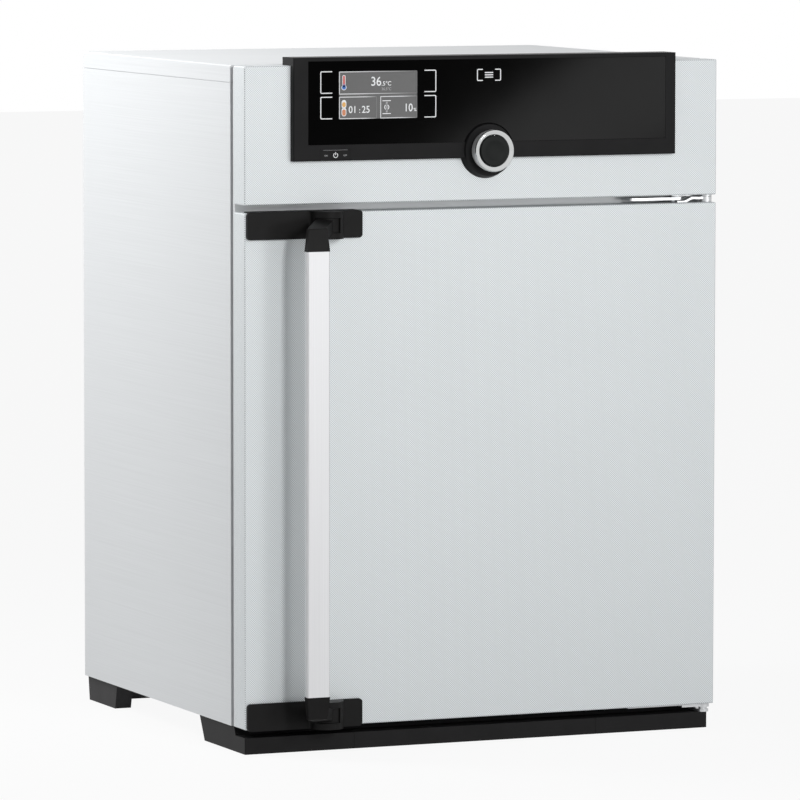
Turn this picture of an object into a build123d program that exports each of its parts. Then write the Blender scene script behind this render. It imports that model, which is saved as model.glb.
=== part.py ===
from build123d import *
from math import cos, radians, sin
import os

# Laboratory incubator, bench size, about 53 litres, in millimetres.
# X runs to the right, Y to the rear and Z up. While it is modelled, Y = 0 is the front
# face of the door and of the control panel. Each piece is moved back by middle_y when it
# is written, so the written part stands with its origin under the middle of its box.

# Driving sizes of the housing
body_width = 585.0
body_depth = 514.0
body_bottom = 29.0
cover_top = 775.0
cover_skirt = 19.2
sheet = 1.2
bend = 1.6
joint_line = 0.5
panel_front = 42.4
flange = 14.0
rear_sheet = 1.5
touch = 0.3

# Front: control panel above, door below, front frame behind both
door_height = 581.7
door_gap = 8.8
front_fold = 31.0
hinge_relief = 2.0
frame_gap = 0.5
frame_sheet = 1.5
frame_fold = 5.0
frame_inset = 1.0
frame_rib_x = 278.5
frame_rib_z = 760.0
cable_hole_width = 60.0
cable_hole_height = 40.0

# Chamber
chamber_width = 400.0
chamber_height = 400.0
chamber_depth = 330.0
recess_margin = 35.0
recess_depth = 23.8
ledge = 13.0
heater = 1.5
heater_inset = 20.0
rib_levels = 5
rib_pitch = 66.0
rib_reach = 9.0
rib_height = 6.0
rib_inset = 14.0
shelf_depth = 298.0
shelf_rear_gap = 4.0
shelf_side_gap = 3.5
frame_wire = 3.0
grid_wire = 1.3
cross_bar = 1.8
grid_count = 17
shelf_corner = 12.0
shelf_low_level = 1
shelf_high_level = 3
wire_play = 0.7

# Glass door
pane_thick = 5.7
pane_overlap = 17.0
seal_width = 11.0
seal_height = 5.3
glass_axis_out = 25.0
glass_knuckle = 5.5
glass_knuckle_height = 18.0
glass_pin = 2.5
glass_lug_height = 12.0
glass_hinge_inset = 60.0
glass_clamp_reach = 30.0
glass_clamp_thick = 3.5
glass_bolt = 2.0
glass_cap = 4.0
glass_cap_thick = 1.5
glass_knob_radius = 11.0
glass_knob_height = 9.0
glass_knob_inset = 22.0
magnet_height = 36.0

# Outer door
field_half = 228.0
field_rise = 3.7
groove_in = 240.0
groove_width = 18.0
groove_depth = 4.8
seal_side_gap = 2.0
panel_edge_gap = 1.5
hinge_x = 285.0
hinge_y = 13.0
barrel_radius = 7.3
hinge_pin = 4.0
running = 0.05
bush_radius = 6.0
bush_length = 16.0
pin_reach = 13.0

# Leaves of the outer door's hinges
leaf_left = 187.0
leaf_right = 253.5
leaf_front = 8.0
leaf_low = 3.1
leaf_thick = 3.0
strap_front = 24.0
strap_thick = 2.6
joggle_low = 256.0
joggle_high = 266.0
plate_thick = 1.8
plate_width = 18.0
plate_step = 256.0
plate_step_end = 270.0
knuckle_drop = 4.8
arm_thick = 3.0
hinge_screw_inset = 11.0

# Handle
bracket_left = -290.5
bracket_right = -151.0
bracket_height = 31.2
bracket_proud = 1.5
bracket_thick = 4.0
bracket_wrap = 16.0
bracket_corner = 4.0
pivot_x = -195.5
pivot_y = -6.0
boss_radius = 19.0
boss_wall = 1.5
drum_height = 16.0
drum_drop = 7.8
arm_window_left = 66.0
arm_window_right = 31.0
arm_root_out = 4.5
arm_root_front = 9.0
arm_root_width = 23.0
arm_root_height = 13.6
arm_tip_width = 21.5
arm_tip_height = 14.0
pivot_pin = 3.0
bar_front = -56.0
bar_width = 27.0
bar_depth = 8.0
bar_x = -225.5
bar_end_drop = 42.4
cap_wall = 0.2
cap_depth = 9.0
lever_width = 10.0
lever_height = 6.0
lever_reach = 49.0
lever_swing = 25.0

# Control panel fittings
bezel_half = 236.5
bezel_bottom = 668.0
bezel_top = 784.0
bezel_front = -8.0
bezel_lip_back = 24.6
glass_left = -218.4
glass_right = 223.3
glass_bottom = 686.3
glass_top = 779.5
glass_thick = 3.0
knob_x = 1.8
knob_z = 676.6
knob_boss_front = -10.5
knob_boss_small = 29.3
knob_boss_large = 32.2
knob_radius = 24.0
knob_skirt = 22.2
knob_band = 6.0
knob_edge = 3.0
knob_front = -27.5
button_radius = 17.6
button_play = 0.4
button_recess = 0.9
knob_web = 4.2
shaft_radius = 3.0
screen_left = -184.5
screen_right = -83.0
screen_bottom = 711.7
screen_top = 771.0
screen_depth = 13.0
key_left = -203.2
key_right = -168.2
key_bottom = 669.2
key_top = 680.6
key_thick = 3.8
key_travel = 0.8
board_y = 14.0
board_thick = 1.6
board_half = 200.0
board_bottom = 650.0
board_top = 765.0
standoff_radius = 3.0
standoff_inset = 12.0
encoder_half = 8.0
button_travel = 1.5

# Electronics compartment
supply_x = 90.0
supply_width = 160.0
supply_front = 300.0
supply_depth = 130.0
supply_height = 52.0

# Rear fittings
screw_hole = 2.2
screw_shank = 2.0
screw_head = 4.2
screw_head_height = 2.4
louvre_width = 62.0
louvre_height = 4.0
louvre_pitch = 9.0
louvre_count = 7
louvre_columns = (-95.0, 0.0, 95.0)
insulation_rear = 462.0
vent_x = 130.0
vent_above_middle = 150.0
vent_outer = 17.0
vent_bore = 15.0
vent_stub = 16.0
vent_flange = 26.0
vent_flange_thick = 2.0
flap_y = 487.0
flap_play = 0.4
flap_thick = 1.6
flap_shaft = 2.0
flap_hub = 3.4
motor_width = 40.0
motor_height = 34.0
motor_depth = 38.0
inlet_x = -215.0
inlet_z = 95.0
inlet_width = 27.0
inlet_height = 20.0
inlet_flange_width = 50.0
inlet_flange_height = 26.0
inlet_flange_thick = 2.5
inlet_depth = 22.0
socket_z = 700.0
socket_width = 16.0
socket_height = 14.0
probe_x = -100.0
probe_radius = 2.0
probe_reach = 55.0

# Feet
foot_inset = 3.6
plinth_front = 8.9
plinth_top = 18.5
plinth_step = 38.0
plinth_back = 75.0
front_foot_top_rear = 149.0
front_foot_bottom_rear = 133.0
left_seam = -155.7
right_seam = 146.1
side_arm = 40.0
rear_foot_top_front = 415.0
rear_foot_bottom_front = 422.0
rear_foot_bottom_rear = 508.0
rear_foot_top_rear = 512.0
rear_foot_arm = 20.0
rear_foot_reach = 80.0

# Worked-out places
half = body_width / 2
inner = half - sheet
door_bottom = body_bottom
door_top = door_bottom + door_height
mid_z = (door_bottom + door_top) / 2
fascia_bottom = door_top + door_gap
frame_front = front_fold + frame_gap
frame_back = frame_front + frame_sheet
cover_bottom = cover_top - cover_skirt
panel_top = cover_bottom - joint_line
rear_inner = body_depth - rear_sheet
liner_front = frame_front + recess_depth
chamber_rear = liner_front + chamber_depth
liner_rear = chamber_rear + sheet
recess_half_x = chamber_width / 2 + recess_margin
recess_half_z = chamber_height / 2 + recess_margin
seal_front = liner_front - seal_height
pane_rear = seal_front - touch
pane_front = pane_rear - pane_thick
pane_half_x = chamber_width / 2 + pane_overlap
pane_half_z = chamber_height / 2 + pane_overlap
glass_axis_x = chamber_width / 2 + glass_axis_out
glass_axis_y = pane_front
land = front_fold - sheet
tray_z = door_top + door_gap + 2.5
vent_z = mid_z + vent_above_middle
stub_rear = body_depth + vent_stub
middle_y = (bar_front + stub_rear) / 2
knob_back = knob_boss_front - touch
groove_out = groove_in + groove_width
glass_knob_x = chamber_width / 2 - glass_knob_inset
mid_board = (board_bottom + board_top) / 2
drum_radius = boss_radius - boss_wall - touch
bracket_top = door_top + bracket_proud
bracket_bottom = bracket_top - bracket_height
drum_top = bracket_top - drum_drop
drum_bottom = drum_top - drum_height
drum_mid = (drum_top + drum_bottom) / 2


def block(x0, x1, y0, y1, z0, z1):
    """A box given by its two corners."""
    size = Box(x1 - x0, y1 - y0, z1 - z0)
    return Pos((x0 + x1) / 2, (y0 + y1) / 2, (z0 + z1) / 2) * size


def soft_block(x0, x1, y0, y1, z0, z1, radius, axis=Axis.Y):
    """A box whose edges along one axis are rounded."""
    body = block(x0, x1, y0, y1, z0, z1)
    return fillet(body.edges().filter_by(axis), radius)


def rod_x(x0, x1, y, z, radius):
    return Pos((x0 + x1) / 2, y, z) * Rot(0, 90, 0) * Cylinder(radius, x1 - x0)


def rod_y(x, y0, y1, z, radius):
    return Pos(x, (y0 + y1) / 2, z) * Rot(90, 0, 0) * Cylinder(radius, y1 - y0)


def rod_z(x, y, z0, z1, radius):
    return Pos(x, y, (z0 + z1) / 2) * Cylinder(radius, z1 - z0)


def square_ring(out_x, out_z, in_x, in_z, y0, y1):
    """A rectangular ring about the middle of the door, facing front."""
    outside = block(-out_x, out_x, y0, y1, mid_z - out_z, mid_z + out_z)
    return outside - block(-in_x, in_x, y0 - 1, y1 + 1, mid_z - in_z, mid_z + in_z)


def upside_down(shape):
    """The same shape mirrored about the door's middle height."""
    return mirror(shape, Plane.XY.offset(mid_z))


def on_the_right(shape):
    return mirror(shape, Plane.YZ)


def group(*shapes):
    """Separate solids of one kind, kept together as one piece."""
    return Compound([solid for shape in shapes for solid in shape.solids()])


def save(name, shape):
    export_step(Pos(0, -middle_y, 0) * shape, "parts/" + name + ".step")


# Housing shells

def front_pan(z0, z1, depth):
    """A pan of bent sheet: a front face with four folded sides, outer corners rounded."""
    outside = block(-half, half, 0, depth, z0, z1)
    front = outside.faces().sort_by(Axis.Y)[0].edges()
    upright = outside.edges().filter_by(Axis.Y)
    outside = fillet(ShapeList(list(front) + list(upright)), bend)
    inside = block(-inner, inner, sheet, depth + 1, z0 + sheet, z1 - sheet)
    return outside - inside


def base_pan():
    outside = block(-inner, inner, panel_front + sheet, rear_inner - sheet, body_bottom,
                    body_bottom + flange)
    inside = block(-inner + sheet, inner - sheet, panel_front + 2 * sheet,
                   rear_inner - 2 * sheet, body_bottom + sheet, body_bottom + flange + 1)
    return outside - inside


def screw_places():
    """Where the rear sheet is screwed to the side panels' rear flanges."""
    low = body_bottom + 2 * flange
    high = panel_top - flange
    steps = 5
    places = []
    for side in (-1, 1):
        for i in range(steps + 1):
            places.append((side * (inner - flange / 2), low + (high - low) * i / steps))
    return places


def side_panel():
    """The left side: a sheet with front and rear returns and a joggled lip for the cover."""
    front = block(-half, -half + flange, panel_front, panel_front + sheet, body_bottom, panel_top)
    wall = block(-half, -inner, panel_front, body_depth, body_bottom, panel_top)
    rear = block(-half, -half + flange, rear_inner - sheet, rear_inner, body_bottom, panel_top)
    lip = block(-inner, -inner + sheet, panel_front + 2 * sheet, rear_inner - sheet,
                panel_top - flange, cover_top - sheet)
    panel = front + wall + rear + lip
    corner = panel.edges().filter_by(Axis.Z).sort_by(lambda e: e.center().X + e.center().Y)[0]
    panel = fillet(corner, bend / 2)
    for x, z in screw_places():
        if x < 0:
            panel -= rod_y(x, rear_inner - 2 * sheet, rear_inner + 1, z, screw_hole)
    return panel


def top_cover():
    outside = block(-half, half, panel_front, body_depth, cover_bottom, cover_top)
    top = outside.faces().sort_by(Axis.Z)[-1].edges()
    upright = outside.edges().filter_by(Axis.Z)
    outside = fillet(ShapeList(list(top) + list(upright)), bend)
    inside = block(-inner, inner, panel_front + sheet, body_depth - sheet, cover_bottom - 1,
                   cover_top - sheet)
    return outside - inside


def rear_panel():
    """The plain rear sheet with cooling slots and the cut-outs of its fittings."""
    panel = block(-inner, inner, rear_inner, body_depth, body_bottom, panel_top)
    slot_low = tray_z + 30
    cuts = []
    for x in louvre_columns:
        for i in range(louvre_count):
            z = slot_low + i * louvre_pitch
            cuts.append(block(x - louvre_width / 2, x + louvre_width / 2, rear_inner - 1,
                              body_depth + 1, z, z + louvre_height))
    for x, z in screw_places():
        cuts.append(rod_y(x, rear_inner - 1, body_depth + 1, z, screw_hole))
    cuts.append(rod_y(vent_x, rear_inner - 1, body_depth + 1, vent_z, vent_outer + touch))
    cuts.append(block(inlet_x - inlet_width / 2 - touch, inlet_x + inlet_width / 2 + touch,
                      rear_inner - 1, body_depth + 1, inlet_z - inlet_height / 2 - touch,
                      inlet_z + inlet_height / 2 + touch))
    cuts.append(block(inlet_x - socket_width / 2 - touch, inlet_x + socket_width / 2 + touch,
                      rear_inner - 1, body_depth + 1, socket_z - socket_height / 2 - touch,
                      socket_z + socket_height / 2 + touch))
    for cut in cuts:
        panel -= cut
    return panel


def rear_screws():
    screws = []
    for x, z in screw_places():
        head = rod_y(x, body_depth, body_depth + screw_head_height, z, screw_head)
        head = fillet(head.edges().sort_by(Axis.Y)[-1], screw_head_height * 0.7)
        shank = rod_y(x, rear_inner - 2 * sheet, body_depth, z, screw_shank)
        screws.append(head + shank)
    return group(*screws)


def latch_slot(y0, y1, grow):
    """The space that a latch lever sweeps, as a box between two depths."""
    swing = lever_reach * sin(radians(lever_swing))
    return block(pivot_x - swing - lever_width / 2 - grow, pivot_x + lever_width / 2 + grow,
                 y0, y1, drum_mid - lever_height / 2 - grow, drum_mid + lever_height / 2 + grow)


def front_frame():
    """The plate behind door and control panel, with the recess of the glass door."""
    edge = half - frame_inset
    top = cover_top - 2 * sheet
    plate = block(-edge, edge, frame_front, frame_front + frame_fold, body_bottom + touch, top)
    hollow = block(-edge + frame_sheet, edge - frame_sheet, frame_back,
                   frame_front + frame_fold + 1, body_bottom + touch + frame_sheet,
                   top - frame_sheet)
    plate -= hollow
    back = liner_front + sheet + frame_sheet
    plate += square_ring(recess_half_x + frame_sheet, recess_half_z + frame_sheet,
                         recess_half_x, recess_half_z, frame_front, back)
    plate -= block(-recess_half_x, recess_half_x, frame_front - 1, back + 1,
                   mid_z - recess_half_z, mid_z + recess_half_z)
    plate += square_ring(recess_half_x, recess_half_z, recess_half_x - ledge,
                         recess_half_z - ledge, back - frame_sheet, back)
    rib = block(-frame_rib_x, -frame_rib_x + frame_sheet, frame_back, panel_front,
                body_bottom + 2 * frame_fold, cover_bottom)
    plate += rib
    plate += on_the_right(rib)
    plate += block(-frame_rib_x, frame_rib_x, frame_back, panel_front, frame_rib_z,
                   frame_rib_z + frame_sheet)
    slot = latch_slot(frame_front - 1, frame_back + 1, 2.0)
    plate -= slot
    plate -= upside_down(slot)
    hole_z = (fascia_bottom + cover_bottom) / 2
    plate -= block(-cable_hole_width / 2, cable_hole_width / 2, frame_front - 1, frame_back + 1,
                   hole_z - cable_hole_height / 2, hole_z + cable_hole_height / 2)
    return plate


# Control panel

def control_fascia():
    """The control panel's pan, with windows for the display, keys, shaft and lip clip."""
    pan = front_pan(fascia_bottom, cover_top, frame_front)
    pan -= block(screen_left - touch, screen_right + touch, -1, sheet + 1,
                 screen_bottom - touch, screen_top + touch)
    pan -= rod_y(knob_x, -1, sheet + 1, knob_z, shaft_radius + 2)
    for x in (-board_half + standoff_inset, board_half - standoff_inset):
        for z in (board_bottom + standoff_inset, board_top - standoff_inset):
            pan += rod_y(x, sheet, board_y, z, standoff_radius)
    return pan


def cockpit_bezel():
    """The black housing on the control panel, with a lip over its top edge and a knob boss."""
    slab = block(-bezel_half, bezel_half, bezel_front, 0, bezel_bottom, bezel_top)
    lip = block(-bezel_half, bezel_half, bezel_front, bezel_lip_back, cover_top, bezel_top)
    body = slab + lip
    corners = [e for e in body.edges() if e.bounding_box().max.Y < bezel_front + 0.01]
    body = fillet(ShapeList(corners), 1.4)
    cone = Cone(knob_boss_large, knob_boss_small, -knob_boss_front)
    boss = Pos(knob_x, knob_boss_front / 2, knob_z) * Rot(90, 0, 0) * cone
    boss -= block(knob_x - 50, knob_x + 50, knob_boss_front - 1, 1, glass_top, glass_top + 50)
    pocket = block(glass_left - touch, glass_right + touch, bezel_front - 1,
                   bezel_front + glass_thick, glass_bottom - touch, glass_top + touch)
    body = (body - pocket) + boss
    body -= block(screen_left - touch, screen_right + touch, bezel_front - 1, 1,
                  screen_bottom - touch, screen_top + touch)
    body -= rod_y(knob_x, knob_boss_front - 1, 1, knob_z, shaft_radius + touch)
    body -= block(key_left - touch, key_right + touch, bezel_front - 1,
                  bezel_front + key_thick + key_travel + touch, key_bottom - touch,
                  key_top + touch)
    return body


def cockpit_glass():
    """The flat black front glass, notched round the knob's boss."""
    pane = soft_block(glass_left, glass_right, bezel_front, bezel_front + glass_thick,
                      glass_bottom, glass_top, 1.0)
    slope = (knob_boss_large - knob_boss_small) / -knob_boss_front
    notch = knob_boss_small + slope * (bezel_front + glass_thick - knob_boss_front) + 0.5
    return pane - rod_y(knob_x, bezel_front - 1, bezel_front + glass_thick + 1, knob_z, notch)


def display_module():
    front = bezel_front + glass_thick
    return block(screen_left, screen_right, front, front + screen_depth, screen_bottom, screen_top)


def control_board():
    board = block(-board_half, board_half, board_y, board_y + board_thick, board_bottom, board_top)
    back = board_y + board_thick
    chip_x = (-150.0, -60.0, 60.0, 150.0)
    for x in chip_x:
        board += block(x - 14, x + 14, back, back + 5, mid_board - 14, mid_board + 14)
    return board


def rotary_encoder():
    body = block(knob_x - encoder_half, knob_x + encoder_half, sheet, board_y,
                 knob_z - encoder_half, knob_z + encoder_half)
    return body - rod_y(knob_x, sheet - 1, board_y + 1, knob_z, shaft_radius + running)


def knob_ring():
    """The chrome turning ring: a waisted cup turned on one axis, open to the front."""
    bore = button_radius + button_play
    floor = knob_back - knob_web
    waist = knob_front + knob_band
    body = rod_y(knob_x, knob_front, waist, knob_z, knob_radius)
    skirt = Cone(knob_skirt, knob_radius, knob_back - waist)
    body += Pos(knob_x, (waist + knob_back) / 2, knob_z) * Rot(90, 0, 0) * skirt
    rims = body.edges().filter_by(GeomType.CIRCLE).sort_by(Axis.Y)
    body = fillet(rims[0], knob_edge)
    body = chamfer(body.edges().filter_by(GeomType.CIRCLE).sort_by(Axis.Y)[-1], 1.0)
    body -= rod_y(knob_x, knob_front - 1, floor, knob_z, bore)
    return body - rod_y(knob_x, floor - 1, knob_back + 1, knob_z, shaft_radius)


def encoder_shaft():
    return rod_y(knob_x, knob_back - knob_web, board_y - 2, knob_z, shaft_radius)


def knob_button():
    """The push button in the middle of the ring, with a slightly hollow face."""
    back = knob_back - knob_web - button_travel - touch
    front = knob_front + button_recess
    body = rod_y(knob_x, front, back, knob_z, button_radius)
    body = fillet(body.edges().sort_by(Axis.Y)[0], 1.2)
    dish = 90.0
    return body - Pos(knob_x, front - dish + 0.8, knob_z) * Sphere(dish)


def power_key():
    return soft_block(key_left, key_right, bezel_front, bezel_front + key_thick, key_bottom,
                      key_top, 0.6)


# Chamber and its surroundings

def rib_z(level):
    """Height of the top of a level's supporting rib."""
    low = mid_z - (rib_levels - 1) * rib_pitch / 2
    return low + level * rib_pitch


def chamber_liner():
    """The stainless chamber: a ribbed box, open to the front, with a flange for the seal."""
    cx, cz = chamber_width / 2, chamber_height / 2
    low, high = mid_z - cz, mid_z + cz
    liner = block(-cx - sheet, cx + sheet, liner_front, liner_rear, low - sheet, high + sheet)
    liner += block(-recess_half_x + touch, recess_half_x - touch, liner_front,
                   liner_front + sheet, mid_z - recess_half_z + touch,
                   mid_z + recess_half_z - touch)
    liner -= block(-cx, cx, liner_front - 1, chamber_rear, low, high)
    gap = 2 * frame_wire + touch + wire_play
    for level in range(rib_levels):
        top = rib_z(level)
        for z0 in (top - rib_height, top + gap):
            rib = block(-cx, -cx + rib_reach, liner_front + rib_inset,
                        chamber_rear - rib_inset, z0, z0 + rib_height)
            nose = [e for e in rib.edges() if abs(e.center().X + cx - rib_reach) < 0.01]
            rib = fillet(ShapeList(nose).filter_by(Axis.Y), rib_height * 0.4)
            liner += rib
            liner += on_the_right(rib)
    liner -= rod_y(vent_x, chamber_rear - 1, liner_rear + 1, vent_z, vent_bore)
    liner -= rod_y(probe_x, chamber_rear - 1, liner_rear + 1, vent_z, probe_radius + running)
    return liner


def heater_panels():
    """Flat heaters laid on the four outer walls of the chamber."""
    cx = chamber_width / 2 + sheet
    cz = chamber_height / 2 + sheet
    y0 = liner_front + heater_inset
    y1 = liner_rear - heater_inset
    low, high = mid_z - cz, mid_z + cz
    reach_x = cx - heater_inset
    reach_z = cz - heater_inset
    left = block(-cx - heater, -cx, y0, y1, mid_z - reach_z, mid_z + reach_z)
    bottom = block(-reach_x, reach_x, y0, y1, low - heater, low)
    top = block(-reach_x, reach_x, y0, y1, high, high + heater)
    return group(left, on_the_right(left), bottom, top)


def insulation():
    """Mineral-wool boards round the chamber: an outer and an inner layer and a rear board."""
    front = panel_front + 2 * sheet + touch
    side = inner - sheet - touch
    low, high = body_bottom + sheet + touch, tray_z - touch
    step = liner_front + sheet + frame_sheet + touch
    wall_x = recess_half_x + frame_sheet + touch
    wall_z = recess_half_z + frame_sheet + touch
    layer_x, layer_z = wall_x - touch, wall_z - touch
    cx = chamber_width / 2 + sheet + heater + touch
    cz = chamber_height / 2 + sheet + heater + touch
    rear = insulation_rear
    outer_left = block(-side, -wall_x, front, rear, low, high)
    outer_low = block(-layer_x, layer_x, front, rear, low, mid_z - wall_z)
    outer_high = block(-layer_x, layer_x, front, rear, mid_z + wall_z, high)
    inner_left = block(-layer_x, -cx, step, rear, mid_z - layer_z, mid_z + layer_z)
    inner_low = block(-cx + touch, cx - touch, step, rear, mid_z - layer_z, mid_z - cz)
    inner_high = block(-cx + touch, cx - touch, step, rear, mid_z + cz, mid_z + layer_z)
    back = block(-cx + touch, cx - touch, liner_rear + touch, rear, mid_z - cz + touch,
                 mid_z + cz - touch)
    back -= rod_y(vent_x, liner_rear - 1, rear + 1, vent_z, vent_outer + touch)
    back -= rod_y(probe_x, liner_rear - 1, rear + 1, vent_z, probe_radius + touch)
    return group(outer_left, on_the_right(outer_left), outer_low, outer_high, inner_left,
                 on_the_right(inner_left), inner_low, inner_high, back)


def chamber_gasket():
    """The silicone seal on the chamber's flange."""
    out_x = chamber_width / 2 + 3 + seal_width
    out_z = chamber_height / 2 + 3 + seal_width
    ring = square_ring(out_x, out_z, out_x - seal_width, out_z - seal_width,
                       seal_front, liner_front)
    front = [e for e in ring.edges() if e.bounding_box().max.Y < seal_front + 0.01]
    return fillet(ShapeList(front), 2.0)


def temperature_probe():
    """A bare sensor rod through the rear wall, with a collar outside the chamber."""
    rod = rod_y(probe_x, chamber_rear - probe_reach, insulation_rear + 10, vent_z, probe_radius)
    tip = fillet(rod.edges().sort_by(Axis.Y)[0], probe_radius * 0.7)
    return tip + rod_y(probe_x, insulation_rear, insulation_rear + 4, vent_z, probe_radius + 4)


def wire_shelf(level):
    """A welded wire shelf: a bent frame wire, two cross bars and a grid on top."""
    cx = chamber_width / 2 - shelf_side_gap - frame_wire
    z = rib_z(level) + touch + frame_wire
    y1 = chamber_rear - shelf_rear_gap - frame_wire
    y0 = y1 - shelf_depth + 2 * frame_wire
    r = shelf_corner
    shelf = rod_y(-cx, y0 + r, y1 - r, z, frame_wire)
    shelf += rod_y(cx, y0 + r, y1 - r, z, frame_wire)
    shelf += rod_x(-cx + r, cx - r, y0, z, frame_wire)
    shelf += rod_x(-cx + r, cx - r, y1, z, frame_wire)
    for x, y, turn in ((-cx + r, y0 + r, 180), (cx - r, y0 + r, 270),
                       (cx - r, y1 - r, 0), (-cx + r, y1 - r, 90)):
        section = Plane.XZ * Pos(r, 0) * Circle(frame_wire)
        bend_piece = revolve(section, Axis.Z, 90)
        shelf += Pos(x, y, z) * Rot(0, 0, turn) * bend_piece
    bar_z = z + frame_wire - 2 * grid_wire - cross_bar + 0.2
    for share in (0.28, 0.72):
        shelf += rod_x(-cx, cx, y0 + (y1 - y0) * share, bar_z, cross_bar)
    pitch = 2 * cx / (grid_count + 1)
    for i in range(grid_count):
        x = -cx + (i + 1) * pitch
        shelf += rod_y(x, y0, y1, z + frame_wire - grid_wire, grid_wire)
    return shelf


# Glass door

def glass_hinge_heights():
    low = mid_z - pane_half_z + glass_hinge_inset
    return low, 2 * mid_z - low - glass_knuckle_height


def clamp_bolts(z):
    x = chamber_width / 2 - 9
    return [(x - 7, z + 4), (x - 7, z + glass_knuckle_height - 4)]


def glass_pane():
    pane = soft_block(-pane_half_x, pane_half_x, pane_front, pane_rear, mid_z - pane_half_z,
                      mid_z + pane_half_z, 6.0)
    for z in glass_hinge_heights():
        for bx, bz in clamp_bolts(z):
            pane -= rod_y(bx, pane_front - 1, pane_rear + 1, bz, glass_bolt)
    return pane - rod_y(-glass_knob_x, pane_front - 1, pane_rear + 1, mid_z, glass_bolt)


def glass_hinge_clamps():
    """A clamp plate and knuckle at each hinge, bolted through the glass."""
    solids = []
    for z in glass_hinge_heights():
        top = z + glass_knuckle_height
        left = glass_axis_x - glass_axis_out - glass_clamp_reach
        front = pane_front - glass_clamp_thick
        plate = block(left, glass_axis_x - 2, front, pane_front, z, top)
        plate += rod_z(glass_axis_x, glass_axis_y, z, top, glass_knuckle)
        plate -= rod_z(glass_axis_x, glass_axis_y, z - 1, top + 1, glass_pin + running)
        for bx, bz in clamp_bolts(z):
            plate += rod_y(bx, front, pane_rear, bz, glass_bolt)
            plate += rod_y(bx, pane_rear, pane_rear + glass_cap_thick, bz, glass_cap)
        solids.append(plate)
    return group(*solids)


def glass_hinge_lugs():
    """The fixed halves of the glass door's hinges, seated on the chamber's flange."""
    lugs = []
    for z in glass_hinge_heights():
        low = z - touch - glass_lug_height
        lug = rod_z(glass_axis_x, glass_axis_y, low, z - touch, glass_knuckle)
        lug += block(glass_axis_x, recess_half_x - touch, glass_axis_y - 3, liner_front,
                     low, z - touch)
        lug -= rod_z(glass_axis_x, glass_axis_y, low - 1, z, glass_pin)
        lugs.append(lug)
    return group(*lugs)


def glass_hinge_pins():
    pins = []
    for z in glass_hinge_heights():
        low = z - touch - glass_lug_height
        pins.append(rod_z(glass_axis_x, glass_axis_y, low, z + glass_knuckle_height, glass_pin))
    return group(*pins)


def glass_knob():
    """The grip on the glass: a waisted knob with a bolt and a cap inside."""
    front = pane_front - glass_knob_height
    knob = rod_y(-glass_knob_x, front, pane_front, mid_z, glass_knob_radius)
    rims = knob.edges().filter_by(GeomType.CIRCLE)
    knob = fillet(rims, 2.4)
    knob += rod_y(-glass_knob_x, pane_front - 2, pane_rear, mid_z, glass_bolt)
    return knob + rod_y(-glass_knob_x, pane_rear, pane_rear + glass_cap_thick, mid_z,
                        glass_cap)


def glass_catch():
    """The magnet that holds the glass door shut, on the chamber's flange."""
    x1 = -pane_half_x + 2
    return block(-recess_half_x + touch, x1, pane_rear + touch, liner_front,
                 mid_z - magnet_height / 2, mid_z + magnet_height / 2)


# Outer door

def door_skin():
    """The door's outer pan with returned rear edges, stepped forward on the hinge side."""
    pan = front_pan(door_bottom, door_top, front_fold)
    edge = square_ring(inner, door_height / 2 - sheet, inner - flange,
                       door_height / 2 - sheet - flange, land, front_fold)
    side = inner - flange
    pan += edge
    pan -= block(side, half + 1, front_fold - hinge_relief, front_fold + 1, door_bottom - 1,
                 door_top + 1)
    pan += block(side, inner, land - hinge_relief, front_fold - hinge_relief, door_bottom + sheet,
                 door_top - sheet)
    for cut in hinge_bores():
        pan -= cut
    window = latch_window(-1, sheet + 1)
    slot = latch_slot(land - 1, front_fold + 1, 1.0)
    return pan - window - upside_down(window) - slot - upside_down(slot)


def hinge_bores():
    """The seats of the hinge bushes in the top and bottom of the door."""
    low = rod_z(hinge_x, hinge_y, door_bottom - 1, door_bottom + bush_length, bush_radius)
    return [low, upside_down(low)]


def latch_window(y0, y1):
    """The hole in the door's face that the drum and its lever pass, under the bracket."""
    swing = lever_reach * sin(radians(lever_swing))
    left = pivot_x - max(drum_radius + 1, swing + lever_width / 2 + 1)
    return block(left, pivot_x + drum_radius + 1, y0, y1, drum_bottom - 0.5, drum_top + 0.5)


def pressing(thin, y_low):
    """The inner panel's pressed form: a raised field inside a groove for the seal."""
    gz = door_height / 2 - sheet - panel_edge_gap
    x_right = inner - flange - touch
    form = block(-inner + panel_edge_gap, x_right, y_low, land - thin, mid_z - gz, mid_z + gz)
    form -= square_ring(groove_out + thin, groove_out + thin, groove_in - thin,
                        groove_in - thin, land - groove_depth - thin, land + 10)
    form += block(-field_half + thin, field_half - thin, y_low, land + field_rise - thin,
                  mid_z - field_half + thin, mid_z + field_half - thin)
    return form


def door_inner_panel():
    """The stainless inner panel of the door, one pressed sheet."""
    panel = pressing(0, sheet) - pressing(sheet, sheet - 1)
    edges = [e for e in panel.edges()
             if e.bounding_box().min.Y > land + field_rise - 0.01 and e.length > 100]
    panel = fillet(ShapeList(edges), sheet)
    slot = latch_slot(land - 2 * sheet, land + 1, 1.0)
    return panel - slot - upside_down(slot)


def door_insulation():
    core = pressing(sheet, sheet)
    for bore in hinge_bores():
        core -= bore
    channel = latch_window(0, front_fold)
    return core - channel - upside_down(channel)


def door_gasket():
    """The soft seal in the groove of the door's inner panel."""
    out = groove_out - seal_side_gap
    inside = groove_in + seal_side_gap
    ring = square_ring(out, out, inside, inside, land - groove_depth, frame_front - touch)
    rear = [e for e in ring.edges() if e.bounding_box().min.Y > frame_front - touch - 0.01]
    return fillet(ShapeList(rear), 2.5)


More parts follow.
